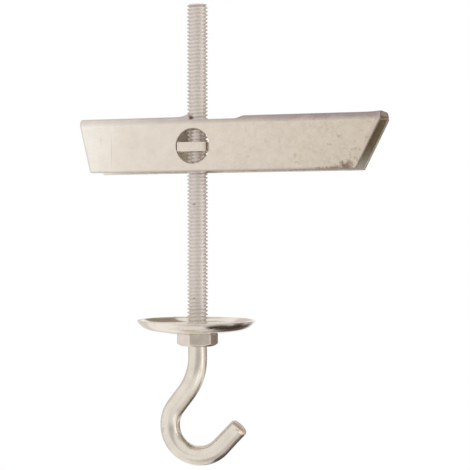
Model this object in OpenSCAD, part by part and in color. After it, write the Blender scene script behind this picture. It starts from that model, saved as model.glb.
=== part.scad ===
// Gravity toggle anchor with a ceiling hook: a threaded rod that ends in an open hook,
// a locknut and a cup washer below the ceiling, and a folded swing bar above it that
// tips about a flat cross nut. Millimetres, +Z up the rod, +X along the bar's long arm.
// The origin is on the rod's axis, in the plane where the washer's rim meets the ceiling.

/* [Rod and hook] */
// Outside diameter of the thread
thread_d = 4; // [3.4:0.1:4.6]
// Diameter of the plain wire below the thread
wire_d = 3.6; // [2.6:0.1:4]
// Height of the rod's tip above the ceiling plane
tip_z = 60; // [54:0.5:90]
// Chamfer on the rod's tip and on the hook's end
end_chamfer = 0.3; // [0.1:0.05:0.6]
// Straight wire between the locknut and the first bend
shank_len = 2.3; // [1:0.1:20]
// Centreline radius of the bend under the nut
neck_r = 11; // [3:0.1:16]
// Angle by which the neck leans away from the rod
neck_angle = 37.5; // [15:0.5:45]
// Straight wire between the neck's bend and the hook's bowl
neck_len = 3.3; // [2:0.1:12]
// Centreline radius of the hook's bowl
bowl_r = 5.8; // [4:0.1:9]
// Rise of the hook's open end above level
mouth_angle = 46.5; // [20:0.5:70]
// Straight wire at the hook's open end
mouth_len = 5.6; // [1:0.1:10]
// Turn of the hook's plane from the bar's plane
hook_turn = 3; // [-90:1:90]

/* [Cup washer] */
// Outside diameter of the washer
washer_d = 22.6; // [18:0.1:32]
// Thickness of the washer's sheet
washer_t = 0.6; // [0.4:0.05:1]
// Radius of the flat seat around the hole
seat_r = 4; // [3:0.1:6]
// Rise of the cup's bottom outside the seat
cone_angle = 9; // [2:0.5:12]
// Radius of the turned-up rim, on its outside
rim_r = 3.6; // [2:0.1:4.5]
// Slope of the rim's outside at its edge
rim_angle = 62; // [45:1:85]
// Radial play of the washer on the thread
washer_play = 0.3; // [0.1:0.05:0.6]

/* [Locknut] */
// Width of the locknut across its flats
nut_across = 6.9; // [6.4:0.05:8]
// Height of the locknut
nut_h = 2.25; // [1.6:0.05:4]
// Turn of the locknut's corners from the +X axis
nut_turn = 27.5; // [0:0.5:60]

/* [Swing bar] */
// Height of the bar's pivot above the ceiling plane
pivot_z = 32.8; // [26:0.05:50]
// Offset of the bar's pivot from the rod's axis, within the ears' play
bar_shift = 0.3; // [0:0.05:0.3]
// Reach of the long arm from the pivot, along the web
long_arm = 36.1; // [28:0.1:60]
// Reach of the short arm from the pivot, along the web
short_arm = 23; // [16:0.1:24]
// Rake of the long arm's end from square
long_rake = 27; // [0:0.5:35]
// Rake of the short arm's end from square
short_rake = 13.5; // [0:0.5:30]
// Outside width of the channel
bar_w = 7.2; // [7:0.1:10]
// Thickness of the bar's sheet
sheet_t = 0.9; // [0.5:0.05:1.2]
// Inside radius of the folds
fold_r = 0.4; // [0.2:0.05:0.8]
// Height of the web's top above the pivot
web_rise = 5.6; // [5.4:0.05:8]
// Drop of the walls' free edges below the pivot
wall_drop = 4.75; // [4.2:0.05:7]
// Angle past square at which the bar rests, with its slot's end at the rod
bar_tilt = 0.7; // [0:0.1:2]
// Reach of the slot into the long arm
slot_reach = 10.5; // [8:0.1:16]
// Corner radius of the slot's ends
slot_corner = 3; // [2:0.1:3.7]
// Depth of the slot's side edges below the web's top
slot_depth = 0.8; // [0.4:0.05:1.2]
// Gap between the slot's closed end and the thread
stop_gap = 0.15; // [0.1:0.05:0.5]

/* [Cross nut] */
// Diameter of the pivot holes in the bar's walls
pivot_hole_d = 6.7; // [5.6:0.05:7.4]
// Radial play of the cross nut's ears in the pivot holes
ear_play = 0.35; // [0.1:0.05:0.5]
// Thickness of the cross nut's plate
plate_t = 1.8; // [1.2:0.1:2.4]
// Width of the plate between the walls
plate_w = 8.6; // [7.6:0.1:9]
// Play between the plate's shoulders and the walls
plate_play = 0.1; // [0.05:0.05:0.3]
// Stand-out of the ears past the walls
ear_proud = 0.05; // [0:0.05:1]
// Radial play of both nuts on the thread
thread_play = 0.05; // [0.02:0.01:0.1]

/* [Hidden] */
$fn = 64;
plated_steel = [0.84, 0.80, 0.75];
bright_steel = [0.88, 0.85, 0.81];
// Overlap that carries a cut clear past the face it opens
past = 1;
// Joints between lengths of wire: thickness, and how far they stand out
joint_len = 0.2;
joint_proud = 0.02;
// Length of the cone where the thread runs out into the plain wire
runout_h = 0.4;

// Washer section: the rim's arcs turn about rim_centre, from cone_angle up to the ceiling plane
rim_centre = [washer_d / 2 - rim_r * sin(rim_angle), rim_r * cos(rim_angle)];
cone_end = rim_centre + rim_r * [sin(cone_angle), -cos(cone_angle)];
cone_end_inner = rim_centre + (rim_r - washer_t) * [sin(cone_angle), -cos(cone_angle)];
// Tongue of the cone's section that laps into the rim's, so that the two fuse
cone_lap = rim_centre + (rim_r - washer_t / 2) * [sin(cone_angle + 3), -cos(cone_angle + 3)];
cup_h = (cone_end[0] - seat_r) * tan(cone_angle) - cone_end[1];

// Stack under the washer
nut_top_z = -cup_h;
nut_bottom_z = nut_top_z - nut_h;
nut_corner_r = nut_across / 2 / cos(30);
nut_face_r = 0.47 * nut_across;
// The chamfer cones run on a little past the corners
nut_chamfer_r = nut_corner_r + 0.2;
nut_chamfer_h = (nut_chamfer_r - nut_face_r) * tan(30);
bend_z = nut_bottom_z - shank_len;

// Hook centreline in its own plane: bend, straight neck, bowl, straight mouth
neck_centre = [-neck_r, bend_z];
neck_start = neck_centre + neck_r * [cos(neck_angle), -sin(neck_angle)];
neck_end = neck_start - neck_len * [sin(neck_angle), cos(neck_angle)];
bowl_centre = neck_end + bowl_r * [cos(neck_angle), -sin(neck_angle)];
bowl_from = 180 - neck_angle;
bowl_sweep = neck_angle + 90 + mouth_angle;
mouth_start = bowl_centre + bowl_r * [sin(mouth_angle), -cos(mouth_angle)];

// Bar section, measured from the pivot
fold_outer_r = fold_r + sheet_t;
bar_inner_w = bar_w - 2 * sheet_t;
web_under = web_rise - sheet_t;
bar_len = short_arm + long_arm;
// The ends are square across the folds and raked below them
rake_from = web_rise - fold_outer_r;
slot_stop = -(thread_d / 2 + stop_gap + bar_shift);

// A straight length of wire in the hook's plane, stopped short inside the joints at its ends
module wire_straight(from, angle, length) {
    translate(from)
        rotate(angle)
            rotate([0, 90, 0])
                translate([0, 0, joint_len / 4])
                    cylinder(d = wire_d, h = length - joint_len / 2);
}

// A bent length of wire in the hook's plane, stopped short inside the joints at its ends
module wire_bend(centre, radius, from, sweep) {
    short = joint_len / 4 / radius * 180 / PI;
    translate(centre)
        rotate(from + short)
            rotate_extrude(angle = sweep - 2 * short)
                translate([radius, 0])
                    circle(d = wire_d);
}

// A hair-thick disc that joins two lengths of wire
module wire_joint(at, angle) {
    translate(at)
        rotate(angle)
            rotate([0, 90, 0])
                cylinder(d = wire_d + 2 * joint_proud, h = joint_len, center = true);
}

// The rod's straight part: chamfered tip, thread's envelope, run-out cone, plain shank
module rod_straight() {
    rotate_extrude()
        polygon([
            [0, bend_z + joint_len / 4],
            [wire_d / 2, bend_z + joint_len / 4],
            [wire_d / 2, nut_bottom_z - runout_h],
            [thread_d / 2, nut_bottom_z],
            [thread_d / 2, tip_z - end_chamfer],
            [thread_d / 2 - end_chamfer, tip_z],
            [0, tip_z]
        ]);
}

// The hook's cropped end, chamfered all round
module mouth() {
    translate(mouth_start)
        rotate(mouth_angle)
            rotate([0, 90, 0])
                rotate_extrude()
                    polygon([
                        [0, joint_len / 4],
                        [wire_d / 2, joint_len / 4],
                        [wire_d / 2, mouth_len - end_chamfer],
                        [wire_d / 2 - end_chamfer, mouth_len],
                        [0, mouth_len]
                    ]);
}

// One bent rod: threaded upper length and open hook
module hook_rod() {
    color(bright_steel) {
        rod_straight();
        rotate(hook_turn)
            rotate([90, 0, 0]) {
                wire_joint([0, bend_z], -90);
                wire_bend(neck_centre, neck_r, -neck_angle, neck_angle);
                wire_joint(neck_start, -90 - neck_angle);
                wire_straight(neck_start, -90 - neck_angle, neck_len);
                wire_joint(neck_end, -90 - neck_angle);
                wire_bend(bowl_centre, bowl_r, bowl_from, bowl_sweep);
                wire_joint(mouth_start, mouth_angle);
                mouth();
            }
    }
}

// The washer's half section: flat seat, shallow cone, and a rim curved up and cut level
module washer_section() {
    hole_r = thread_d / 2 + washer_play;
    polygon([
        [hole_r, -cup_h],
        [seat_r, -cup_h],
        cone_end,
        cone_lap,
        cone_end_inner,
        [seat_r - washer_t * tan(cone_angle / 2), washer_t - cup_h],
        [hole_r, washer_t - cup_h]
    ]);
    translate(rim_centre)
        intersection() {
            difference() {
                circle(r = rim_r);
                circle(r = rim_r - washer_t);
            }
            polygon([
                [0, 0],
                2 * rim_r * [sin(cone_angle), -cos(cone_angle)],
                2 * rim_r * [1, -cos(cone_angle)],
                [2 * rim_r, 0]
            ]);
            translate([0, -2 * rim_r])
                square([2 * rim_r, 2 * rim_r - rim_centre[1]]);
        }
}

// Stamped cup washer, hollow side up
module cup_washer() {
    color(bright_steel)
        rotate_extrude()
            washer_section();
}

// Hexagon locknut with both faces chamfered
module locknut() {
    color(plated_steel)
        translate([0, 0, nut_bottom_z])
            difference() {
                intersection() {
                    rotate(nut_turn)
                        cylinder(r = nut_corner_r, h = nut_h, $fn = 6);
                    rotate_extrude()
                        polygon([
                            [0, 0],
                            [nut_face_r, 0],
                            [nut_chamfer_r, nut_chamfer_h],
                            [nut_chamfer_r, nut_h - nut_chamfer_h],
                            [nut_face_r, nut_h],
                            [0, nut_h]
                        ]);
                }
                translate([0, 0, -past])
                    cylinder(d = thread_d + 2 * thread_play, h = nut_h + 2 * past);
            }
}

// Flat cross nut: shoulders between the walls, round-edged ears in the pivot holes
module cross_nut() {
    ear_len = bar_w + 2 * ear_proud;
    shoulder_len = bar_inner_w - 2 * plate_play;
    color(plated_steel)
        translate([0, 0, pivot_z])
            difference() {
                union() {
                    cube([plate_w, shoulder_len, plate_t], center = true);
                    intersection() {
                        cube([pivot_hole_d, ear_len, plate_t], center = true);
                        rotate([90, 0, 0])
                            cylinder(d = pivot_hole_d - 2 * ear_play, h = ear_len, center = true);
                    }
                }
                cylinder(d = thread_d + 2 * thread_play, h = plate_t + 2 * past, center = true);
            }
}

// The channel's outline across the bar, folds rounded: reach is how far the sheet's face
// stands from the mid-plane, rise its height above the pivot, drop its depth below
module channel_outline(reach, rise, drop, radius) {
    for (side = [-1, 1])
        translate([side * (reach - radius), rise - radius])
            circle(r = radius);
    translate([-(reach - radius), rise - radius])
        square([2 * (reach - radius), radius]);
    translate([-reach, -drop])
        square([2 * reach, rise - radius + drop]);
}

// The folded channel before its ends, slot and holes are cut
module channel() {
    translate([-short_arm, 0, 0])
        rotate([90, 0, 90])
            linear_extrude(bar_len)
                difference() {
                    channel_outline(bar_w / 2, web_rise, wall_drop, fold_outer_r);
                    channel_outline(bar_inner_w / 2, web_under, wall_drop + past, fold_r);
                }
}

// The bar's side view: square at the folds, raked back to the walls' free edges
module side_outline() {
    rake_h = rake_from + wall_drop + past;
    rotate([90, 0, 0])
        linear_extrude(bar_w + 2 * past, center = true)
            polygon([
                [-short_arm - past, web_rise + past],
                [-short_arm - past, rake_from],
                [-short_arm, rake_from],
                [-short_arm + rake_h * tan(short_rake), -wall_drop - past],
                [long_arm - rake_h * tan(long_rake), -wall_drop - past],
                [long_arm, rake_from],
                [long_arm + past, rake_from],
                [long_arm + past, web_rise + past]
            ]);
}

// Plan of the slot, wide enough to open both folds
module slot_plan() {
    half_w = bar_w / 2 + slot_depth / 4;
    for (x = [slot_stop + slot_corner, slot_reach - slot_corner], side = [-1, 1])
        translate([x, side * (half_w - slot_corner)])
            circle(r = slot_corner);
    translate([slot_stop + slot_corner, -half_w])
        square([slot_reach - slot_stop - 2 * slot_corner, 2 * half_w]);
    translate([slot_stop, slot_corner - half_w])
        square([slot_reach - slot_stop, 2 * (half_w - slot_corner)]);
}

// Slot through the web that lets the rod tip towards the long arm
module slot_cut() {
    intersection() {
        linear_extrude(web_rise + past)
            slot_plan();
        union() {
            translate([-short_arm, -bar_inner_w / 2, 0])
                cube([bar_len, bar_inner_w, web_rise + past]);
            translate([-short_arm, -bar_w, web_rise - slot_depth])
                cube([bar_len, 2 * bar_w, slot_depth + past]);
        }
    }
}

// Folded channel bar with raked ends, a slotted web and two pivot holes
module swing_bar() {
    color(plated_steel)
        translate([bar_shift, 0, pivot_z])
            rotate([0, -bar_tilt, 0])
                difference() {
                    intersection() {
                        channel();
                        side_outline();
                    }
                    slot_cut();
                    rotate([90, 0, 0])
                        cylinder(d = pivot_hole_d, h = bar_w + 2 * past, center = true);
                }
}

hook_rod();
cup_washer();
locknut();
cross_nut();
swing_bar();
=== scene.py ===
import math

import bmesh
import bpy
import numpy as np
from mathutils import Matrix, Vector


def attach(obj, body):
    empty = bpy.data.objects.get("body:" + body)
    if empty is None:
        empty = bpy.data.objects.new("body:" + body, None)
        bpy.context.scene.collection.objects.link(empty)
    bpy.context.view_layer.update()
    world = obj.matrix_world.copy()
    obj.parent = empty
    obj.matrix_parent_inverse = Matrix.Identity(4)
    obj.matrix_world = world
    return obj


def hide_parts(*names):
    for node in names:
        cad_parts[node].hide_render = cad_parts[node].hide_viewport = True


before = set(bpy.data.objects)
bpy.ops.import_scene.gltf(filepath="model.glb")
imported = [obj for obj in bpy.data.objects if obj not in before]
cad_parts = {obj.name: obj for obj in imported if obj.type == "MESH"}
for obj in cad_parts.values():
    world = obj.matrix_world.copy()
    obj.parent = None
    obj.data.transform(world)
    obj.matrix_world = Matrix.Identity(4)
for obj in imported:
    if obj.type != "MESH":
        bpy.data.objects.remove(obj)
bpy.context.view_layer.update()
scene = bpy.context.scene
mm = 0.001
print("frame loaded:", ", ".join(sorted(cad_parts)))


# Mesh helpers

# Blend that leaves both ends level: 3t^2 - 2t^3 on t held between 0 and 1
def smoothStep(t):
    t = np.clip(t, 0.0, 1.0)
    return t * t * (3.0 - 2.0 * t)


# Closed outline with every corner rolled to its own radius. Each corner becomes an arc
# that touches both its edges: the tangent point is radius * tan(turn / 2) from the corner.
def rollCorners(corners, radii, steps=6):
    corners = np.asarray(corners, float)
    radii = np.broadcast_to(np.asarray(radii, float), len(corners))
    before = np.roll(corners, 1, axis=0) - corners
    after = np.roll(corners, -1, axis=0) - corners
    before /= np.linalg.norm(before, axis=1, keepdims=True)
    after /= np.linalg.norm(after, axis=1, keepdims=True)
    half = 0.5 * np.arccos(np.clip((before * after).sum(1), -1, 1))
    inward = before + after
    inward /= np.linalg.norm(inward, axis=1, keepdims=True)
    centre = corners + inward * (radii / np.sin(half))[:, None]
    start = corners + before * (radii / np.tan(half))[:, None] - centre
    side = np.sign(before[:, 0] * after[:, 1] - before[:, 1] * after[:, 0])
    swing = np.linspace(0, 1, steps) * (math.pi - 2 * half)[:, None] * -side[:, None]
    c, s = np.cos(swing), np.sin(swing)
    x = centre[:, :1] + c * start[:, :1] - s * start[:, 1:]
    y = centre[:, 1:] + s * start[:, :1] + c * start[:, 1:]
    return np.stack((x, y), 2).reshape(-1, 2)


# Faces of a grid of rows and columns whose columns close round. The rows close round too
# when ring is set.
def gridFaces(rows, columns, ring=False):
    r = np.arange(rows if ring else rows - 1)[:, None]
    c = np.arange(columns)[None, :]
    r2 = (r + 1) % rows
    c2 = (c + 1) % columns
    quads = np.stack(
        (r * columns + c, r * columns + c2, r2 * columns + c2, r2 * columns + c), 2
    )
    return quads.reshape(-1, 4)


# Mesh of a grid. poles adds a middle point at each end and fans the last row to it; edges
# that turn more than sharp degrees stay crisp.
def makePiece(name, points, faces, sharp, poles=None):
    faces = faces.tolist()
    if poles is not None:
        columns = poles["columns"]
        count = len(points)
        ring = np.arange(columns)
        turn = np.roll(ring, -1)
        first = np.stack((turn, ring, np.full(columns, count)), 1)
        last = count - columns
        end = np.stack((last + ring, last + turn, np.full(columns, count + 1)), 1)
        points = np.vstack((points, poles["start"], poles["end"]))
        faces += first.tolist() + end.tolist()
    mesh = bpy.data.meshes.new(name)
    mesh.from_pydata(points.tolist(), [], faces)
    tidyNormals(mesh)
    return finishPiece(name, mesh, sharp)


mergeWithin = 1e-4  # millimetres


# Merges doubles and cuts the faces across at each (axis, place), so that they can bend there
def cutRows(mesh, cuts, merge):
    work = bmesh.new()
    work.from_mesh(mesh)
    bmesh.ops.remove_doubles(work, verts=work.verts, dist=merge)
    for axis, at in cuts:
        geometry = list(work.verts) + list(work.edges) + list(work.faces)
        normal = Vector((0, 0, 0))
        normal[axis] = 1
        bmesh.ops.bisect_plane(
            work, geom=geometry, dist=1e-6, plane_co=normal * float(at), plane_no=normal
        )
    bmesh.ops.recalc_face_normals(work, faces=work.faces)
    work.to_mesh(mesh)
    work.free()


def tidyNormals(mesh):
    work = bmesh.new()
    work.from_mesh(mesh)
    bmesh.ops.recalc_face_normals(work, faces=work.faces)
    work.to_mesh(mesh)
    work.free()


def finishPiece(name, mesh, sharp):
    mesh.shade_smooth()
    mesh.set_sharp_from_angle(angle=math.radians(sharp))
    piece = bpy.data.objects.new(name, mesh)
    scene.collection.objects.link(piece)
    return piece


# Stores three numbers on every point of a piece for its material to read
def mark(mesh, name, values):
    layer = mesh.attributes.new(name, "FLOAT_VECTOR", "POINT")
    whole = np.zeros((len(mesh.vertices), 3))
    whole[: len(values)] = values
    layer.data.foreach_set("vector", whole.ravel())


# Flat stamped blank in millimetres: an outline and its holes, with every cut edge rolled
# over. It lies in XY, with its thickness either side of it.
def stampBlank(outline, holes, thickness, edge):
    curve = bpy.data.curves.new("blank", "CURVE")
    curve.dimensions = "2D"
    curve.fill_mode = "BOTH"
    curve.extrude = thickness / 2 - edge
    curve.bevel_depth = edge
    curve.bevel_resolution = 1
    curve.offset = -edge
    for ring in [outline] + list(holes):
        spline = curve.splines.new("POLY")
        spline.points.add(len(ring) - 1)
        flat = np.zeros((len(ring), 4))
        flat[:, :2] = ring
        flat[:, 3] = 1
        spline.points.foreach_set("co", flat.ravel())
        spline.use_cyclic_u = True
    holder = bpy.data.objects.new("blank", curve)
    scene.collection.objects.link(holder)
    bpy.context.view_layer.update()
    graph = bpy.context.evaluated_depsgraph_get()
    mesh = bpy.data.meshes.new_from_object(holder.evaluated_get(graph))
    bpy.data.objects.remove(holder)
    bpy.data.curves.remove(curve)
    return mesh


# Places of a mesh's points, one row each
def meshPoints(mesh):
    points = np.empty(len(mesh.vertices) * 3)
    mesh.vertices.foreach_get("co", points)
    return points.reshape(-1, 3)


# Outline of a round hole: radius times cosine and sine of the turn, from its middle
def circle(x, y, radius, count=72):
    t = np.linspace(0, 2 * math.pi, count, endpoint=False)
    return np.stack((x + radius * np.cos(t), y + radius * np.sin(t)), 1)


# Materials

grainDepth = 0.02  # millimetres, on every finish


# sRGB hex code to linear light
def hexColour(code):
    s = np.array([int(code[i : i + 2], 16) for i in (1, 3, 5)]) / 255.0
    linear = np.where(s <= 0.04045, s / 12.92, ((s + 0.055) / 1.055) ** 2.4)
    return (*linear.tolist(), 1.0)


# Adds one node and gives back its outputs. A setting is a property of the node, or what one
# of its inputs takes: a value, a hex colour, or another node's output, which is linked.
def addNode(tree, kind, settings=None):
    node = tree.nodes.new("ShaderNode" + kind)
    for key, value in (settings or {}).items():
        if isinstance(value, bpy.types.NodeSocket):
            tree.links.new(value, node.inputs[key])
        elif isinstance(key, str) and hasattr(node, key):
            setattr(node, key, value)
        elif isinstance(value, str):
            node.inputs[key].default_value = hexColour(value)
        else:
            node.inputs[key].default_value = value
    return node.outputs


def newMaterial(name):
    made = bpy.data.materials.new(name)
    made.use_nodes = True
    made.node_tree.nodes.clear()
    return made, made.node_tree


# Soft random clouds. widths is how wide they are in millimetres, one for all axes or one
# for each. What the noise gives from low to high is spread over the range in to.
def clouds(tree, place, widths, low, high, detail=3.0, roughness=0.6, to=(0.0, 1.0)):
    stretch = (1 / (np.broadcast_to(widths, 3) * mm)).tolist()
    spread = addNode(tree, "Mapping", {"Vector": place, "Scale": stretch})[0]
    look = {"Vector": spread, "Scale": 1.0, "Detail": detail, "Roughness": roughness}
    grey = addNode(tree, "TexNoise", look)["Fac"]
    return addNode(tree, "MapRange", {0: grey, 1: low, 2: high, 3: to[0], 4: to[1]})[0]


# 1 inside an ellipse on the surface, soft to 0 at its rim; middle and reach in millimetres
def patch(tree, place, middle, reach, core=0.3):
    fit = {"vector_type": "TEXTURE", "Vector": place}
    fit["Location"] = [m * mm for m in middle]
    fit["Scale"] = [r * mm for r in reach]
    inside = addNode(tree, "Mapping", fit)[0]
    away = addNode(tree, "VectorMath", {"operation": "LENGTH", 0: inside})["Value"]
    return addNode(tree, "MapRange", {0: away, 1: 1.0, 2: core})[0]


# Lays marks one after another over a tone, or over a value such as roughness. A mark shows
# as far as all its masks multiplied together, and has a tone or a value of its own.
def layMarks(tree, under, marks):
    for masks, over in marks:
        shown = masks[0]
        for mask in masks[1:]:
            shown = addNode(tree, "Math", {"operation": "MULTIPLY", 0: shown, 1: mask})[0]
        if isinstance(over, float):
            under = addNode(tree, "Mix", {0: shown, 2: under, 3: over})[0]
        else:
            mix = {"data_type": "RGBA", 0: shown, 6: under, 7: over}
            under = addNode(tree, "Mix", mix)[2]
    return under


# Plated steel, as drawn, pressed or rolled. The plating is a warm pale metal: soft clouds
# in its tone and gloss, and a grain along the way the metal was worked, drawn coarser than
# the real one so that it shows. The wear function adds a piece's own marks, painted shade
# among them, and gives back the tone, the roughness and how much of the surface is metal.
def platedSteel(name, look, wearAndShade=None):
    made, tree = newMaterial(name)
    place = addNode(tree, "TexCoord")["Object"]
    cloud = clouds(tree, place, look["cloud"], 0.3, 0.7, detail=4.0)
    tone = layMarks(tree, look["dark"], [([cloud], look["light"])])
    smooth, rough = look["roughness"]
    gloss = addNode(tree, "MapRange", {0: cloud, 3: smooth, 4: rough})[0]
    grain = clouds(tree, place, look["grain"], 0.0, 1.0, roughness=0.65)
    relief = {"Height": grain, "Strength": look["grainStrength"], "Distance": grainDepth * mm}
    bump = addNode(tree, "Bump", relief)[0]
    steel = {"Base Color": tone, "Roughness": gloss, "Metallic": 1.0, "Normal": bump}
    if wearAndShade is not None:
        steel["Base Color"], steel["Roughness"], steel["Metallic"] = wearAndShade(tree, place, tone, gloss)
    shader = addNode(tree, "BsdfPrincipled", steel)[0]
    addNode(tree, "OutputMaterial", {"Surface": shader})
    return made


# Hook rod

hookRod = {
    "thread": 4.0,  # outside diameter
    "wire": 3.6,  # plain wire below the thread
    "pitch": 0.7,
    "depth": 0.46,  # of the thread
    "tip": 59.8,  # height of the rod's end
    "threadEnd": -4.86,  # where the thread runs out, inside the nut's lower face
    "runOut": 0.9,
    "bend": -7.16,  # first bend starts here
    "neckRadius": 11.0,
    "neckAngle": 37.5,
    "neckLength": 3.3,
    "bowlRadius": 5.8,
    "mouthAngle": 46.5,
    "mouthLength": 5.6,
    "turn": 3.0,  # hook's plane from the bar's
    "chamfer": 0.3,
    "sharp": 40,  # edges that turn more degrees than this stay crisp
    "soft": 0.88,  # lean of the worn flanks' normals to the rod's own
    "softFrom": 0.05,  # they lean where at least this much of the thread is cut
    "crest": 0.08,  # flat of the crest, as a part of half the pitch
    "flank": 0.8,  # flank, the same way
    "upset": 0.07,  # added to the wire's radius by the bending
    "upsetRise": 4.0,  # height over which it comes in
    "upsetFall": 5.0,  # length over which it goes, before the mouth's last stretch
    "plainMouth": 2.0,  # that stretch
    "crop": 0.9,  # fall of the cropped edge, as a part of the chamfer
    "torn": 0.4,  # part of the chamfer over which the torn plating starts
    "fineBelow": 1.0,  # rows stay fine this far past the thread
    "bendGap": 0.5,  # last row of the straight, above the bend
    "rowsPerPitch": 12,
    "bendRows": 24,
    "neckRows": 14,
    "bowlRows": 96,
    "mouthRows": 16,
    "columns": 40,
}


# Centreline as arrays: straight rod, neck bend, straight neck, bowl, straight mouth.
# Returns points and headings in the hook's plane (across, up), in millimetres.
def hookLine(h, straightRows):
    neck = math.radians(h["neckAngle"])
    mouth = math.radians(h["mouthAngle"])
    t = np.linspace(0, neck, h["bendRows"])
    r = h["neckRadius"]
    bendPts = np.stack((r * np.cos(t) - r, h["bend"] - r * np.sin(t)), 1)
    bendDir = np.stack((-np.sin(t), -np.cos(t)), 1)
    lean = bendDir[-1]
    neckPts = bendPts[-1] + lean * np.linspace(0, h["neckLength"], h["neckRows"])[1:, None]
    b = h["bowlRadius"]
    middle = neckPts[-1] + b * np.array([-lean[1], lean[0]])
    a = np.linspace(math.pi - neck, 1.5 * math.pi + mouth, h["bowlRows"])[1:]
    bowlPts = middle + b * np.stack((np.cos(a), np.sin(a)), 1)
    bowlDir = np.stack((-np.sin(a), np.cos(a)), 1)
    out = bowlDir[-1]
    reach = np.linspace(0, h["mouthLength"], h["mouthRows"])[1:, None]
    mouthPts = bowlPts[-1] + out * reach
    rodPts = np.stack((0 * straightRows, straightRows), 1)
    points = np.vstack((rodPts, bendPts, neckPts, bowlPts, mouthPts))
    heading = np.vstack(
        (
            np.tile([0.0, -1.0], (len(rodPts), 1)),
            bendDir,
            np.tile(lean, (len(neckPts), 1)),
            bowlDir,
            np.tile(out, (len(mouthPts), 1)),
        )
    )
    return points, heading


# Round section carried down the centreline. On the straight rod its radius follows the
# thread: the height less one pitch a turn, taken round the flank profile, where a rolled
# thread has soft crests and roots. The radius drops to the chamfer at both ends.
def makeHookRod(h):
    step = h["pitch"] / h["rowsPerPitch"]
    fine = np.arange(h["tip"], h["threadEnd"] - h["fineBelow"], -step)
    straight = np.append(fine, h["bend"] + h["bendGap"])
    points, heading = hookLine(h, straight)
    gone = np.append(0, np.cumsum(np.linalg.norm(np.diff(points, axis=0), axis=1)))
    turn = np.linspace(0, 2 * math.pi, h["columns"], endpoint=False)
    height = points[:, 1:]
    phase = (height / h["pitch"] - turn[None, :] / (2 * math.pi)) % 1.0
    flank = np.abs(phase - 0.5) * 2.0  # 0 at the crest, 1 at the root
    crest = h["thread"] / 2
    threaded = crest - h["depth"] * np.clip((flank - h["crest"]) / h["flank"], 0, 1)
    wire = h["wire"] / 2
    onRod = np.arange(len(points))[:, None] < len(straight)
    fade = smoothStep((height - h["threadEnd"]) / h["runOut"]) * onRod
    radius = wire + (threaded - wire) * fade
    fromTip = gone[:, None]
    fromMouth = gone[-1] - gone[:, None]
    bent = smoothStep((h["bend"] - height) / h["upsetRise"])
    bent = bent * smoothStep((fromMouth - h["plainMouth"]) / h["upsetFall"])
    radius = radius + h["upset"] * np.where(onRod, 0, bent)
    radius = np.minimum(radius, crest - h["chamfer"] + fromTip)
    # the cropped end is rolled over by the shear, so it falls away on a quarter circle
    c = h["chamfer"]
    fall = c - np.sqrt(np.maximum(c * c - np.maximum(c - fromMouth, 0) ** 2, 0))
    radius = np.where(fromMouth < c, wire - fall * h["crop"], radius)
    across = np.stack((-heading[:, 1], heading[:, 0]), 1)
    spin = math.radians(h["turn"])
    acrossDir = np.array([math.cos(spin), math.sin(spin), 0])
    backDir = np.array([-math.sin(spin), math.cos(spin), 0])
    up = np.array([0, 0, 1.0])
    centre = points[:, :1] * acrossDir + points[:, 1:] * up
    side = across[:, :1] * acrossDir + across[:, 1:] * up
    ring = np.cos(turn)[None, :, None] * side[:, None, :] + np.sin(turn)[None, :, None] * backDir
    grid = centre[:, None, :] + radius[:, :, None] * ring
    poles = {"columns": h["columns"], "start": centre[:1] * mm, "end": centre[-1:] * mm}
    faces = gridFaces(len(points), h["columns"])
    piece = makePiece("hookRodSurface", grid.reshape(-1, 3) * mm, faces, h["sharp"], poles)
    # for the material: threaded, depth in the thread's root for its painted shade, cropped end
    whole = 0 * turn[None, :]
    cropped = smoothStep((c - fromMouth) / (h["torn"] * c)) + whole
    told = np.stack((fade + whole, fade * smoothStep(flank), cropped), 2).reshape(-1, 3)
    mark(piece.data, "workedAndRootShade", np.vstack((told, [[1, 0, 0], [0, 0, 1]])))
    # the thread's flanks are worn soft, so their normals lean most of the way to the rod's
    flat = np.zeros(len(piece.data.vertices) * 3)
    piece.data.vertex_normals.foreach_get("vector", flat)
    flat = flat.reshape(-1, 3)
    soft = h["soft"] * ring.reshape(-1, 3) + (1 - h["soft"]) * flat[:-2]
    soft /= np.linalg.norm(soft, axis=1, keepdims=True)
    onThread = (fade > h["softFrom"]) & (fromTip > 2 * c) & (whole == 0)
    flat[:] = 0  # no normal given leaves the surface's own
    flat[:-2][onThread.ravel()] = soft[onThread.ravel()]
    piece.data.normals_split_custom_set_from_vertices(flat.tolist())
    return piece


# Cup washer

cupWasher = {
    "outside": 22.6,
    "sheet": 0.6,
    "hole": 4.6,
    "seat": 4.0,  # radius of the flat round the hole
    "coneAngle": 9.0,
    "rimRadius": 3.6,
    "rimAngle": 62.0,
    "edge": 0.1,
    "sharp": 35,
    "shift": (-0.21, -0.07),  # it hangs to one side on the thread
    "arcRows": 20,
    "edgeRows": 5,
    "seatRows": 6,
    "columns": 144,
}


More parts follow.
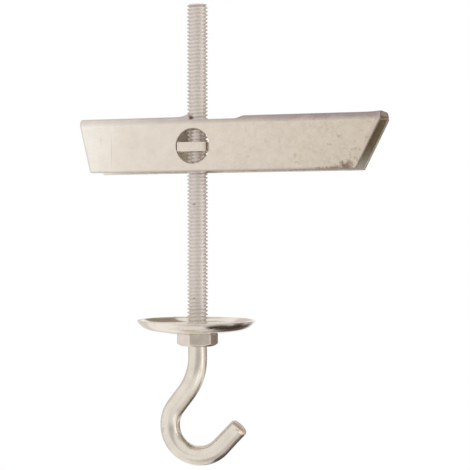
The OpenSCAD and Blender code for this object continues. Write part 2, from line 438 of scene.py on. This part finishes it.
# Section revolved about the rod: flat seat, shallow cone, and a rim on an arc that is cut
# level at the ceiling. The same run is offset by the sheet's thickness for the upper side.
def makeCupWasher(w):
    cone = math.radians(w["coneAngle"])
    rim = math.radians(w["rimAngle"])
    outer, inner = w["rimRadius"], w["rimRadius"] - w["sheet"]
    middle = np.array([w["outside"] / 2 - outer * math.sin(rim), outer * math.cos(rim)])
    hole, e = w["hole"] / 2, w["edge"]
    # both arcs stop one edge radius below the ceiling, where the edge's rounds take over
    t = np.linspace(0, 1, w["arcRows"])[:, None]
    a = cone + (math.acos((middle[1] + e) / outer) - cone) * t
    below = middle + outer * np.hstack((np.sin(a), -np.cos(a)))
    a = cone + (math.acos((middle[1] + e) / inner) - cone) * t
    above = middle + inner * np.hstack((np.sin(a), -np.cos(a)))
    bottom = below[0, 1] - (below[0, 0] - w["seat"]) * math.tan(cone)
    lift = w["sheet"]
    kink = w["seat"] - lift * math.tan(cone / 2)
    q = np.linspace(0, math.pi / 2, w["edgeRows"])[:, None]
    outCorner = below[-1] - [e, 0] + e * np.hstack((np.cos(q), np.sin(q)))
    inCorner = above[-1] + [e, 0] + e * np.hstack((-np.sin(q), np.cos(q)))
    seatIn = np.linspace(kink, hole + e, w["seatRows"])[:, None]
    lower = np.linspace(hole + e, w["seat"], w["seatRows"])[:, None]
    holeTop = [hole + e, bottom + lift - e] + e * np.hstack((-np.sin(q), np.cos(q)))
    holeLow = [hole + e, bottom + e] + e * np.hstack((-np.cos(q), -np.sin(q)))
    run = np.vstack(
        (
            np.hstack((lower, 0 * lower + bottom)),
            below[:-1],
            outCorner,
            inCorner,
            above[-2::-1],
            np.hstack((seatIn, 0 * seatIn + bottom + lift)),
            holeTop[1:],
            holeLow[:-1],
        )
    )
    t = np.linspace(0, 2 * math.pi, w["columns"], endpoint=False)
    grid = np.stack(
        (
            w["shift"][0] + run[:, :1] * np.cos(t),
            w["shift"][1] + run[:, :1] * np.sin(t),
            run[:, 1:] + 0 * t,
        ),
        2,
    )
    faces = gridFaces(len(run), w["columns"], ring=True)
    return makePiece("cupWasherSurface", grid.reshape(-1, 3) * mm, faces, w["sharp"])


# Locknut

lockNut = {
    "across": 6.9,
    "height": 2.25,
    "low": -4.86,  # its lower face
    "bore": 4.06,
    "turn": 27.5,  # a corner's angle from +X
    "face": 0.93,  # flat ring of the faces, as a part of the width across the flats
    "chamferAngle": 30.0,  # of the lower cone
    "topSlope": 6.0,  # of the fine upper one
    "topFace": 0.6,  # its reach past the flat ring
    "cornerSoft": 0.12,
    "blend": 22.0,  # how sharply hexagon and cones meet
    "boreChamfer": 0.25,
    "sharp": 24,
    "faceRing": 0.82,  # ring of points on the faces, as a part of the side's reach
    "rows": 27,
    "columns": 180,
}


# Six-sided prism as one grid round the rod: out along the lower face, up the sides, in
# along the upper face, down the bore. A side's reach is the hexagon's, held in by a 30
# degree chamfer cone below, a fine one above, and a round that softens the corners. The
# smaller of hexagon and cone is taken softly: -log(exp(-k a) + exp(-k b)) / k.
def makeLockNut(n):
    flat = n["across"] / 2
    t = np.linspace(0, 2 * math.pi, n["columns"], endpoint=False)
    fold = (t + math.pi / 6) % (math.pi / 3) - math.pi / 6
    hexagon = flat / np.cos(math.pi / 6 - np.abs(fold))
    corner = flat / math.cos(math.pi / 6) - n["cornerSoft"]
    hexagon = np.minimum(hexagon, 0.5 * (hexagon + corner))
    z = np.linspace(0, n["height"], n["rows"])[:, None]
    lowCone = z / math.tan(math.radians(n["chamferAngle"]))
    topCone = n["topSlope"] * (n["height"] - z) + n["topFace"]
    cone = flat * n["face"] + np.minimum(lowCone, topCone)
    k = n["blend"]
    sides = -np.log(np.exp(-k * (hexagon - flat)) + np.exp(-k * (cone - flat))) / k + flat
    bore = n["bore"] / 2
    c = n["boreChamfer"]
    mouth = bore + c
    rows = [0 * t + bore, 0 * t + mouth, sides[0] * n["faceRing"]]
    levels = [c, 0.0, 0.0]
    rows += list(sides)
    levels += z[:, 0].tolist()
    rows += [sides[-1] * n["faceRing"], 0 * t + mouth, 0 * t + bore]
    levels += [n["height"], n["height"], n["height"] - c]
    rows = np.array(rows)
    levels = np.array(levels)[:, None] + n["low"] + 0 * t
    a = t + math.radians(n["turn"])
    grid = np.stack((rows * np.cos(a), rows * np.sin(a), levels), 2)
    faces = gridFaces(len(rows), n["columns"], ring=True)
    return makePiece("lockNutSurface", grid.reshape(-1, 3) * mm, faces, n["sharp"])


# Cross nut

crossNut = {
    "height": 32.8,
    "thickness": 1.8,
    "width": 8.6,  # between the walls
    "shoulder": 5.0,  # loose between the walls, which lean on it
    "ear": 5.9,
    "length": 7.3,  # over both ears
    "bore": 4.1,
    "plateCorner": 0.4,
    "earCorner": 0.25,
    "innerCorner": 0.05,
    "edge": 0.12,
    "sharp": 20,
}


# Cross-shaped stamping with the rod's hole in the middle: the outline goes round from the
# plate's right side, and both ears stand out of it along Y.
def makeCrossNut(n):
    x, e = n["width"] / 2, n["ear"] / 2
    y, l = n["shoulder"] / 2, n["length"] / 2
    corners = [(x, -y), (x, y), (e, y), (e, l), (-e, l), (-e, y)]
    corners += [(-x, y), (-x, -y), (-e, -y), (-e, -l), (e, -l), (e, -y)]
    plate, ear, inner = n["plateCorner"], n["earCorner"], n["innerCorner"]
    outline = rollCorners(corners, [plate, plate, inner, ear, ear, inner] * 2)
    mesh = stampBlank(outline, [circle(0, 0, n["bore"] / 2)], n["thickness"], n["edge"])
    points = meshPoints(mesh)
    points[:, 2] += n["height"]
    mesh.vertices.foreach_set("co", (points * mm).ravel())
    cutRows(mesh, [], mergeWithin * mm)
    return finishPiece("crossNutSurface", mesh, n["sharp"])


# Swing bar

swingBar = {
    "pivot": 32.8,
    "shift": 0.3,  # of the pivot from the rod, in the ears' play
    "tilt": 0.7,
    "roll": 2.4,  # front wall up, in the play of the ears
    "long": 36.1,
    "short": 23.0,
    "longRake": 27.0,
    "shortRake": 13.5,
    "width": 7.2,
    "sheet": 0.9,
    "foldInside": 0.4,
    "rise": 5.6,  # web's top above the pivot
    "drop": 4.75,  # free edges below it
    "hole": 6.7,
    "slotFrom": -2.45,  # closed end, round the rod
    "slotNeck": 2.25,  # half width there
    "slotShoulder": -1.0,  # from here on the slot is wide
    "slotTo": 10.5,
    "slotReach": 3.13,  # half width of the slot, measured round the sheet's middle
    "slotCorner": 2.5,
    "slotShoulderCorner": 0.3,
    "slotNeckCorner": 0.12,
    "slotEndCorner": 1.3,
    "shortTopCorner": 0.8,
    "shortLowCorner": 0.25,
    "longLowCorner": 0.3,
    "longTopCorner": 0.5,
    "edge": 0.09,
    "sharp": 18,
    "lip": 0.58,  # rise of the web at the slot's shoulders, pushed up by the punch
    "lipLength": 1.2,
    "lipFade": 0.9,  # width over which it sinks at the fold
    "lipPast": 0.5,  # it goes on this far beside the slot
    "crown": 0.5,  # rise of the web at the long end, pushed up by the shear
    "crownLength": 1.6,
    "bow": 0.07,  # bulge of the walls' middles
    "foldSteps": 10,
    "foldEase": 0.15,  # one more row on either side of the fold
    "wallRows": (0.12, 0.25, 0.4, 0.6, 0.75, 0.88),  # as parts of the wall's height
    "lipRows": (0.3, 0.6, 0.9, 1.2, 1.6, 2.0, 2.5, 3.0),  # back from the slot's shoulder
    "endRows": (0.5, 1.0, 1.5, 2.0, 2.6, 3.3),  # back from the long end
}


# The sheet is stamped flat and then folded. Across the blank, v runs from the web's
# middle: level out to the fold line, then round the fold on the sheet's middle radius,
# then straight down the wall. Height in the sheet adds to the fold's radius.
def makeSwingBar(b):
    t = b["sheet"]
    foldMiddle = b["foldInside"] + t / 2
    outside = b["foldInside"] + t
    foldLine = b["width"] / 2 - outside
    foldEnd = foldLine + foldMiddle * math.pi / 2
    wall = b["rise"] - outside + b["drop"]
    reach = foldEnd + wall
    pivotV = foldEnd + b["rise"] - outside
    shortLow = wall * math.tan(math.radians(b["shortRake"])) - b["short"]
    longLow = b["long"] - wall * math.tan(math.radians(b["longRake"]))
    corners = [(-b["short"], -foldEnd), (shortLow, -reach), (longLow, -reach)]
    corners += [(b["long"], -foldEnd), (b["long"], foldEnd), (longLow, reach)]
    corners += [(shortLow, reach), (-b["short"], foldEnd)]
    radii = [b["shortTopCorner"], b["shortLowCorner"], b["longLowCorner"], b["longTopCorner"]]
    outline = rollCorners(corners, radii + radii[::-1])
    low, shoulder, high = b["slotFrom"], b["slotShoulder"], b["slotTo"]
    neck, half = b["slotNeck"], b["slotReach"]
    slot = [(shoulder, -half), (high, -half), (high, half), (shoulder, half)]
    slot += [(shoulder, neck), (low, neck), (low, -neck), (shoulder, -neck)]
    radii = [b["slotShoulderCorner"], b["slotCorner"], b["slotCorner"], b["slotShoulderCorner"]]
    radii += [b["slotNeckCorner"], b["slotEndCorner"], b["slotEndCorner"], b["slotNeckCorner"]]
    slot = rollCorners(slot, radii, 10)
    # the far hole sits higher on its wall, so that it is level with its ear as the bar leans
    farV = pivotV - (b["width"] - t) / 2 * math.tan(math.radians(b["roll"]))
    holes = [slot, circle(0, farV, b["hole"] / 2), circle(0, -pivotV, b["hole"] / 2)]
    mesh = stampBlank(outline, holes, t, b["edge"])
    folds = np.linspace(foldLine, foldEnd, b["foldSteps"] + 1)
    folds = np.append(folds, [foldLine - b["foldEase"], foldEnd + b["foldEase"]])
    folds = np.append(folds, foldEnd + wall * np.array(b["wallRows"]))
    lipRows = shoulder - np.array(b["lipRows"])
    endRows = b["long"] - np.array(b["endRows"])
    cuts = [(1, v) for v in folds] + [(1, -v) for v in folds]
    cuts += [(0, x) for x in np.concatenate((lipRows, endRows))]
    cutRows(mesh, cuts, mergeWithin)
    p = meshPoints(mesh)
    v, w = np.abs(p[:, 1]), p[:, 2]
    side = np.where(p[:, 1] < 0, -1.0, 1.0)
    angle = np.clip(v - foldLine, 0, foldEnd - foldLine) / foldMiddle
    level = np.minimum(v, foldLine)
    down = np.maximum(v - foldEnd, 0)
    bulge = b["bow"] * (1 - (2 * down / wall - 1) ** 2) * (down > 0)
    y = side * (level + (foldMiddle + w) * np.sin(angle) + bulge)
    z = b["rise"] - outside + (foldMiddle + w) * np.cos(angle) - down
    # lip and crown fall off as a bell curve along the web
    toLip = np.exp(-((np.maximum(shoulder - p[:, 0], 0) / b["lipLength"]) ** 2))
    toLip = toLip * (p[:, 0] < shoulder + b["lipPast"])
    z += b["lip"] * toLip * smoothStep((foldLine + b["lipFade"] - v) / b["lipFade"])
    toEnd = np.exp(-(((b["long"] - p[:, 0]) / b["crownLength"]) ** 2))
    z += b["crown"] * toEnd * smoothStep((foldEnd - v) / foldEnd)
    c, s = math.cos(math.radians(b["roll"])), math.sin(math.radians(b["roll"]))
    y, z = y * c + z * s, z * c - y * s
    c, s = math.cos(math.radians(b["tilt"])), math.sin(math.radians(b["tilt"]))
    x = b["shift"] + p[:, 0] * c - z * s
    folded = np.stack((x, y, b["pivot"] + p[:, 0] * s + z * c), 1)
    mesh.vertices.foreach_set("co", (folded * mm).ravel())
    tidyNormals(mesh)
    # for the material: place on the flat blank
    mark(mesh, "blank", p * mm)
    return finishPiece("swingBarSurface", mesh, b["sharp"])


rodPiece = makeHookRod(hookRod)
washerPiece = makeCupWasher(cupWasher)
nutPiece = makeLockNut(lockNut)
crossPiece = makeCrossNut(crossNut)
barPiece = makeSwingBar(swingBar)
print("pieces made")


# Finishes, with painted shade

# Drawn wire with a rolled thread: the thread is duller and pinker than the wire, with
# painted shade darkening its roots, and the cropped end shows brown where the shear tore
# the plating. Two specks of dirt stick to the thread below the bar.
def wireWearAndShade(tree, place, tone, gloss):
    workedAndRootShade = addNode(tree, "Attribute", {"attribute_name": "workedAndRootShade"})["Vector"]
    threaded, paintedRootShade, cropped = addNode(tree, "SeparateXYZ", {0: workedAndRootShade})
    spots = clouds(tree, place, 1.1, 0.68, 0.74, detail=2.0)
    speck = patch(tree, place, (-0.07, -1.85, 22.0), (0.45, 0.5, 0.26))
    lowSpeck = patch(tree, place, (-0.07, -1.85, 4.2), (0.4, 0.5, 0.26))
    torn = clouds(tree, place, 0.9, 0.35, 0.65, to=(0.45, 0.85))
    tones = [
        ([threaded, 0.6], "#EFE3DE"),
        # painted shade: the thread's roots darkened where shade falls between the crests
        ([paintedRootShade, 0.24], "#8F857A"),
        ([spots, 0.35], "#8C7F72"),
        ([speck, 0.8], "#5A5049"),
        ([lowSpeck, 0.56], "#5A5049"),
        ([cropped, torn], "#D2B7A4"),
    ]
    tone = layMarks(tree, tone, tones)
    gloss = layMarks(tree, gloss, [([threaded, 0.9], 0.38), ([cropped, torn], 0.5)])
    metal = layMarks(tree, 1.0, [([threaded, 0.4], 0.0), ([cropped, torn, 0.6], 0.0)])
    return tone, gloss, metal


# Rolled and folded sheet: the plating is dulled purple-brown where the sheet was folded,
# more so to the long end, where it is mottled and specked with rust and a rust stain
# creeps up from the lower edge. The cut edges are matt, grey at the long end. Painted shade
# greys the rolled lower edge and the short end. A pair of scratches runs down the short arm.
# The inside, out of reach, keeps its bright plating, under painted shade that deepens up
# the walls and towards the long end.
def sheetWearAndShade(tree, place, tone, gloss):
    blank = addNode(tree, "Attribute", {"attribute_name": "blank"})["Vector"]
    along, sideways, through = addNode(tree, "SeparateXYZ", {0: blank})
    across = addNode(tree, "Math", {"operation": "ABSOLUTE", 0: sideways})[0]
    depth = addNode(tree, "Math", {"operation": "ABSOLUTE", 0: through})[0]
    # along a raked cut, the length plus the rake's slope times the way across stays the same
    longSlope, shortSlope = 0.51, -0.24
    longCut, shortCut = (
        addNode(tree, "Math", {"operation": "MULTIPLY_ADD", 0: across, 1: slope, 2: along})[0]
        for slope in (longSlope, shortSlope)
    )
    # what each is measured along, its start and end in millimetres, its strength at both
    ramps = {
        "aged": (along, -22, 34, 0.0, 0.95),
        "pale": (along, -13, -22, 0.0, 0.6),
        "inside": (through, -0.4, -0.44, 0.0, 1.0),
        "outside": (through, -0.4, -0.44, 1.0, 0.0),
        # the next two ramps place painted shade inside the channel
        "shadeToLongEnd": (along, 12, 28, 0.0, 1.0),
        "shadeUpWalls": (across, 11.5, 8, 0.0, 1.0),
        "mottled": (along, -12, 24, 0.12, 0.42),
        "foldStart": (across, 2.1, 2.5, 0.0, 1.0),
        "foldEnd": (across, 3.85, 3.3, 0.0, 1.0),
        "dulled": (along, -12, 24, 0.32, 0.85),
        "specked": (along, 2, 34, 0.05, 0.5),
        "longRim": (longCut, 37.0, 37.8, 0.0, 1.0),
        "upper": (across, 12, 6, 0.1, 0.5),
        "shortRim": (shortCut, -23.45, -23.8, 0.0, 1.0),
        "lowRim": (across, 12.3, 12.6, 0.0, 1.0),
        "cut": (depth, 0.44, 0.38, 0.0, 1.0),
        "grey": (along, 18, 30, 0.0, 1.0),
    }
    on = {}
    for name, (way, start, end, low, high) in ramps.items():
        ends = {0: way, 1: start * mm, 2: end * mm, 3: low, 4: high}
        on[name] = addNode(tree, "MapRange", ends)[0]
    mottle = clouds(tree, blank, 1.1, 0.42, 0.68, detail=5.0, roughness=0.8)
    streak = clouds(tree, blank, (3.0, 0.8, 1.0), 0.25, 0.5, to=(0.6, 1.0))
    specks = clouds(tree, blank, 0.75, 0.58, 0.7, detail=2.0)
    swarm = clouds(tree, blank, 4.0, 0.38, 0.58)
    face, deep = 0.45, 2.0  # the sheet's outer face, and a reach that takes it in
    scratch = patch(tree, blank, (-16.4, -8.5, face), (0.16, 4.2, deep), 0.0)
    shortScratch = patch(tree, blank, (-18.6, -6.7, face), (0.12, 1.6, deep), 0.0)
    # the stain: two patches on the lower edge, frayed by noise
    lowEdge = -12.7
    stain = patch(tree, blank, (29.6, lowEdge, face), (3.0, 2.0, deep), 0.2)
    tail = patch(tree, blank, (26.4, lowEdge, face), (3.6, 0.7, deep), 0.2)
    creep = addNode(tree, "Math", {"operation": "MAXIMUM", 0: stain, 1: tail})[0]
    frayed = clouds(tree, blank, (0.9, 1.3, 1.0), 0.62, 0.36, detail=4.0, roughness=0.7)
    rust = addNode(tree, "Math", {"operation": "MULTIPLY", 0: frayed, 1: creep})[0]
    rust = addNode(tree, "MapRange", {0: rust, 1: 0.12, 2: 0.5, 4: 0.75})[0]
    # painted shade along the rolled lower edge and the short raked end
    rims = {"operation": "MAXIMUM", 0: on["shortRim"], 1: on["lowRim"]}
    rimShade = addNode(tree, "Math", rims)[0]
    # painted shade inside the channel: darker up the walls towards the fold and towards the long
    # end
    insideToneAndShade = layMarks(tree, "#F3EDE4", [([on["shadeToLongEnd"], on["shadeUpWalls"]], "#C4B99C")])
    bare = layMarks(tree, "#DCCFC2", [([on["grey"]], "#8F8577")])
    tones = [
        ([on["aged"]], "#D5C8B7"),
        ([on["pale"]], "#FFF9F0"),
        ([on["inside"], 0.9], insideToneAndShade),
        ([mottle, on["mottled"]], "#B5AA98"),
        ([on["foldStart"], on["foldEnd"], on["dulled"], streak], "#988A89"),
        ([specks, swarm, on["specked"], on["outside"]], "#8B7763"),
        ([scratch, 0.3], "#8F867C"),
        ([shortScratch, 0.3], "#8F867C"),
        ([rust], "#7A5547"),
        ([on["longRim"], on["upper"], on["outside"]], "#C9B4AC"),
        ([rimShade, on["outside"], 0.4], "#9C9495"),
        ([on["cut"], 0.6], bare),
    ]
    tone = layMarks(tree, tone, tones)
    gloss = layMarks(tree, gloss, [([on["inside"]], 0.4), ([rust], 0.65), ([on["cut"]], 0.6)])
    metal = layMarks(tree, 1.0, [([rust], 0.35)])
    return tone, gloss, metal


drawnWire = platedSteel(
    "platedDrawnWire",
    {
        "light": "#E8E0D4",
        "dark": "#DAD1C4",
        "cloud": 2.5,
        "roughness": (0.22, 0.31),
        "grain": (0.25, 0.25, 0.25),
        "grainStrength": 0.2,
    },
    wireWearAndShade,
)
# Sheet pressed to a cup and plated bright: smooth enough to mirror the studio
pressedCup = platedSteel(
    "platedPressedSteel",
    {
        "light": "#EFE6DC",
        "dark": "#E4DACF",
        "cloud": 3.0,
        "roughness": (0.14, 0.2),
        "grain": (0.4, 0.4, 0.4),
        "grainStrength": 0.08,
    },
)
# Cold formed steel: its flats are satin and blur what they mirror
formedNut = platedSteel(
    "platedFormedSteel",
    {
        "light": "#E4D8CC",
        "dark": "#D8CCC0",
        "cloud": 1.5,
        "roughness": (0.2, 0.28),
        "grain": (0.3, 0.3, 0.3),
        "grainStrength": 0.12,
    },
)
rolledSheet = platedSteel(
    "platedRolledSheet",
    {
        "light": "#EEE5DB",
        "dark": "#E3D9CC",
        "cloud": 3.5,
        "roughness": (0.27, 0.36),
        "grain": (3.0, 0.35, 0.25),
        "grainStrength": 0.2,
    },
    sheetWearAndShade,
)
for piece, node, body, slot, finish in (
    (rodPiece, "hook_rod", "hook", "plated_rod", drawnWire),
    (washerPiece, "cup_washer", "washer", "plated_cup", pressedCup),
    (nutPiece, "locknut", "nut", "plated_nut", formedNut),
    (crossPiece, "cross_nut", "cross_nut", "plated_plate", formedNut),
    (barPiece, "swing_bar", "bar", "plated_sheet", rolledSheet),
):
    piece.data.materials.clear()
    piece.data.materials.append(finish)
    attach(piece, body)
    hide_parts(node)
print("materials on")


# Camera, matched to the photograph: level with a point below the bar, close in

view = {
    "azimuth": 18.6,  # from straight in front, towards the long arm
    "distance": 344.0,
    "eye": 21.88,  # height of the camera
    "aim": 16.15,  # height at the picture's middle
    "right": 7.1,  # picture's middle, to the right of the rod
    "pixelsPerMm": 5.27,
    "pixels": 470,
}
a = math.radians(view["azimuth"])
toward = Vector((math.sin(a), -math.cos(a), 0))
rightward = Vector((math.cos(a), math.sin(a), 0))
middle = rightward * view["right"]
spot = (middle + toward * view["distance"] + Vector((0, 0, view["eye"]))) * mm
target = (middle + Vector((0, 0, view["aim"]))) * mm
lens = bpy.data.cameras.new("camera")
lens.sensor_width = 36.0
lens.lens = lens.sensor_width * view["pixelsPerMm"] * view["distance"] / view["pixels"]
lens.clip_start = 0.01
camera = bpy.data.objects.new("camera", lens)
camera.location = spot
camera.rotation_euler = (target - spot).to_track_quat("-Z", "Y").to_euler()
scene.collection.objects.link(camera)
scene.camera = camera


# Studio: a white tent open on the right, where dark cards shape the metal

cardDistance = 0.9  # metres, from a point on the rod
cardHeight = 0.016  # of that point


# A flat glowing card that faces the object and that only the metal sees
def card(name, colour, azimuth, elevation, halfAcross, halfUp, feather=0.0, glare=1.0):
    az, el = math.radians(azimuth) + a, math.radians(elevation)
    out = Vector((math.sin(az) * math.cos(el), -math.cos(az) * math.cos(el), math.sin(el)))
    mesh = bpy.data.meshes.new(name)
    x = cardDistance * math.tan(math.radians(halfAcross))
    y = cardDistance * math.tan(math.radians(halfUp))
    corners = [(-x, -y, 0), (x, -y, 0), (x, y, 0), (-x, y, 0)]
    mesh.from_pydata(corners, [], [(0, 1, 2, 3)])
    made = bpy.data.objects.new(name, mesh)
    made.location = out * cardDistance + Vector((0, 0, cardHeight))
    made.rotation_euler = (-out).to_track_quat("Z", "Y").to_euler()
    material, tree = newMaterial(name + "Card")
    surface = addNode(tree, "Emission", {"Color": colour, "Strength": glare})[0]
    if feather > 0:
        # round card that thins out to nothing over the outer part of its reach
        place = addNode(tree, "TexCoord")["Object"]
        solid = patch(tree, place, (0, 0, 0), (x / mm, y / mm, 1), 1 - feather)
        clear = addNode(tree, "BsdfTransparent")[0]
        surface = addNode(tree, "MixShader", {0: solid, 1: clear, 2: surface})[0]
    addNode(tree, "OutputMaterial", {"Surface": surface})
    mesh.materials.append(material)
    made.visible_camera = False
    made.visible_shadow = False
    scene.collection.objects.link(made)


# name, colour, azimuth from the camera, elevation, degrees either side, degrees up and down,
# the part of its reach that is feathered, and its strength
for row in (
    ("front", "#C0C0BD", 9, -1, 44, 16, 0.45),
    ("highlight", "#FFFFFF", 64, 6, 12, 40, 0.5, 1.6),
    ("lowHighlight", "#FFFFFF", 37, -27, 11, 13, 0.6, 1.6),
    ("right", "#E0D6D3", 100, -4, 22, 9),
    ("lowMidRight", "#746965", 110, -38, 18, 14, 0.6),
    ("upperRight", "#CFCAC4", 80, 28, 30, 20),
    ("upperBackRight", "#968E7F", 121, 41, 28, 28),
    ("midBackRight", "#8A817B", 137, -6, 18, 12),
    ("lowRight", "#3A302B", 119, -69, 29, 23, 0.55),
    ("lowEdge", "#40362F", 137, -48, 22, 18, 0.55),
    ("lowBackRight", "#5E534F", 158, -37, 24, 24, 0.6),
    ("backLeft", "#E0DEDA", -147, 5, 32, 38),
    ("topBack", "#D0CECA", 194, 60, 12, 8),
    ("under", "#F0F0EE", 180, -80, 20, 20),
    ("underFront", "#BCB4AE", 0, -62, 44, 24, 0.9),
):
    card(*row)

world = bpy.data.worlds.new("studio")
scene.world = world
world.use_nodes = True
tree = world.node_tree
tree.nodes.clear()
# the camera and the metal see plain white, and what is lit softly gets a little less
rays = addNode(tree, "LightPath")
seen = rays["Is Camera Ray"]
for ray in ("Is Glossy Ray", "Is Transmission Ray"):
    seen = addNode(tree, "Math", {"operation": "MAXIMUM", 0: seen, 1: rays[ray]})[0]
soft = addNode(tree, "Background", {"Color": "#FFFFFF", "Strength": 0.75})[0]
white = addNode(tree, "Background", {"Color": "#FFFFFF", "Strength": 1.0})[0]
mixed = addNode(tree, "MixShader", {0: seen, 1: soft, 2: white})[0]
addNode(tree, "OutputWorld", {"Surface": mixed})

scene.view_settings.view_transform = "Standard"
print("studio set")
